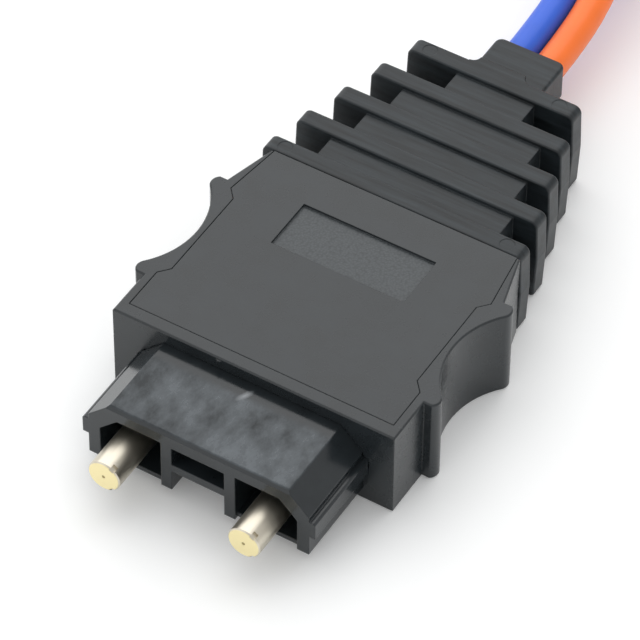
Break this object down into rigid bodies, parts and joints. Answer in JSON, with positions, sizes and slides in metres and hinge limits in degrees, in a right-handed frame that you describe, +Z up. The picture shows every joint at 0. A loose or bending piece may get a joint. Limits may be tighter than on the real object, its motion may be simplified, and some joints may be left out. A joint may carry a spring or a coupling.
{
  "type": "fibre optic connector",
  "caption": "Flat black push-on fibre optic plug with sprung metal ferrules in a chamfered nose, finger grips, a ribbed strain relief boot and loose jacketed cords tied in a coil.",
  "frame": {"origin": "middle of the housing's underside", "axes": "+X to the right seen from behind the nose, the nose and ferrules face -Y and the cords leave towards +Y, +Z up"},
  "size_m": [0.0322, 0.1011, 0.0106],
  "materials": {
    "black_housing": "fine moulded black with a soft shine",
    "black_nose": "black, scuffed on top from use",
    "black_boot": "satin black elastomer",
    "plated_brass": "nickel plated, with a ground yellow end face",
    "glass_fibre": "polished end, white buffer",
    "spring_steel": "drawn wire",
    "yellow_yarn": "twisted filaments",
    "crimp_metal": "drawn tube",
    "blue_jacket": "extruded, slightly shiny",
    "orange_jacket": "extruded, slightly shiny",
    "black_strap": "woven strap"
  },
  "bodies": {
    "plug_body": {"lower_housing": "black_housing", "top_cover": "black_housing", "plug_frame": "black_nose", "spring_stop": "black_nose", "strain_relief_boot": "black_boot", "ferrule_spring_left": "spring_steel", "ferrule_spring_right": "spring_steel", "strength_yarn_left": "yellow_yarn", "strength_yarn_right": "yellow_yarn", "crimp_ring_left": "crimp_metal", "crimp_ring_right": "crimp_metal", "jacket_lead_left": "blue_jacket", "jacket_lead_right": "orange_jacket", "cord_blue": "blue_jacket", "cord_orange": "orange_jacket", "coil_blue": "blue_jacket", "coil_orange": "orange_jacket", "coil_tie": "black_strap"},
    "left_ferrule": {"ferrule_left": "plated_brass", "fibre_left": "glass_fibre"},
    "right_ferrule": {"ferrule_right": "plated_brass", "fibre_right": "glass_fibre"}
  },
  "joints": [
    {"name": "left_ferrule_slide", "type": "slide", "parent": "plug_body", "child": "left_ferrule", "axis": [0, 1, 0], "range_m": [0, 0.0008], "stiffness_N_per_m": 500, "deforming": ["ferrule_spring_left"]},
    {"name": "right_ferrule_slide", "type": "slide", "parent": "plug_body", "child": "right_ferrule", "axis": [0, 1, 0], "range_m": [0, 0.0008], "stiffness_N_per_m": 500, "deforming": ["ferrule_spring_right"]}
  ]
}
